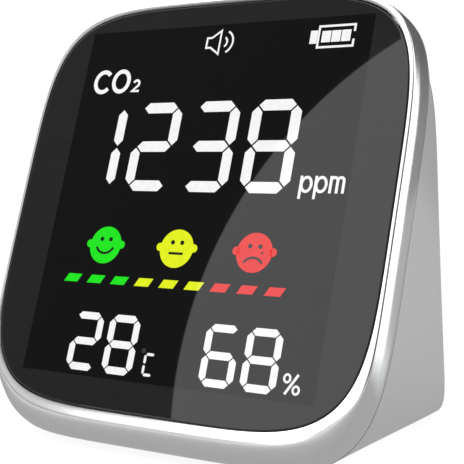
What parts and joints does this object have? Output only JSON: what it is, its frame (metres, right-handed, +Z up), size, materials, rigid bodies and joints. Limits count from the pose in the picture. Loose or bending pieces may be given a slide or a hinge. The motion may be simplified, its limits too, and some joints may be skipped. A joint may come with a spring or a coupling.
{
  "type": "air quality monitor",
  "caption": "Wedge-shaped table-top air quality monitor with a leaning square display, silver case and rear push buttons.",
  "frame": {"origin": "middle of the footprint, on the surface that the feet rest on", "axes": "+X to the right seen from the front, +Y to the back, +Z up; the display faces -Y and leans back 19.3 degrees"},
  "size_m": [0.0902, 0.066, 0.0913],
  "materials": {
    "silver_paint": "satin silver paint on a moulded frame",
    "silver_plastic": "satin silver-grey moulded shell",
    "black_lens": "high gloss black acrylic plate",
    "black_foam": "soft black adhesive foam",
    "dust_mesh": "fine black dust mesh",
    "panel_glass": "dark display glass",
    "diffuser_film": "white diffusing film",
    "clear_acrylic": "clear light guide",
    "white_plastic": "white moulded frame",
    "circuit_board": "green solder mask",
    "chip_plastic": "black moulding compound",
    "gold_plate": "gold-plated sensor can",
    "white_nylon": "natural nylon connector",
    "socket_steel": "stamped steel",
    "battery_foil": "laminated foil pouch",
    "red_wire": "red insulated wire",
    "black_wire": "black insulated wire",
    "ribbon_film": "flat flexible cable",
    "black_rubber": "matt black rubber",
    "grey_plastic": "dark grey moulded button",
    "screw_steel": "plated steel"
  },
  "bodies": {
    "case": {"front_frame": "silver_paint", "rear_housing": "silver_plastic", "front_lens": "black_lens", "lens_tape": "black_foam", "vent_mesh": "dust_mesh", "display_panel": "panel_glass", "diffuser_sheet": "diffuser_film", "light_guide": "clear_acrylic", "backlight_frame": "white_plastic", "main_board": "circuit_board", "rear_board": "circuit_board", "mcu_chip": "chip_plastic", "climate_sensor": "chip_plastic", "co2_sensor": "gold_plate", "buzzer": "chip_plastic", "battery_socket": "white_nylon", "ribbon_socket_main": "white_nylon", "ribbon_socket_rear": "white_nylon", "charging_socket": "socket_steel", "socket_tongue": "chip_plastic", "battery": "battery_foil", "battery_pad": "black_foam", "battery_lead_red": "red_wire", "battery_lead_black": "black_wire", "ribbon_cable": "ribbon_film", "foot_front_left": "black_rubber", "foot_front_right": "black_rubber", "foot_rear_left": "black_rubber", "foot_rear_right": "black_rubber", "switch_power": "socket_steel", "switch_mode": "socket_steel", "switch_alarm": "socket_steel", "board_screw_left_low": "screw_steel", "board_screw_left_high": "screw_steel", "board_screw_right_low": "screw_steel", "board_screw_right_high": "screw_steel", "rear_board_screw_left": "screw_steel", "rear_board_screw_right": "screw_steel", "case_screw_left": "screw_steel", "case_screw_right": "screw_steel"},
    "button_power": {"button_power": "grey_plastic", "plunger_power": "chip_plastic"},
    "button_mode": {"button_mode": "grey_plastic", "plunger_mode": "chip_plastic"},
    "button_alarm": {"button_alarm": "grey_plastic", "plunger_alarm": "chip_plastic"}
  },
  "joints": [
    {"name": "power_press", "type": "slide", "parent": "case", "child": "button_power", "axis": [0, -0.9947, -0.1029], "range_m": [0, 0.0006], "stiffness_N_per_m": 900, "springref_m": -0.0004},
    {"name": "mode_press", "type": "slide", "parent": "case", "child": "button_mode", "axis": [0, -0.9947, -0.1029], "range_m": [0, 0.0006], "stiffness_N_per_m": 900, "springref_m": -0.0004},
    {"name": "alarm_press", "type": "slide", "parent": "case", "child": "button_alarm", "axis": [0, -0.9947, -0.1029], "range_m": [0, 0.0006], "stiffness_N_per_m": 900, "springref_m": -0.0004}
  ]
}
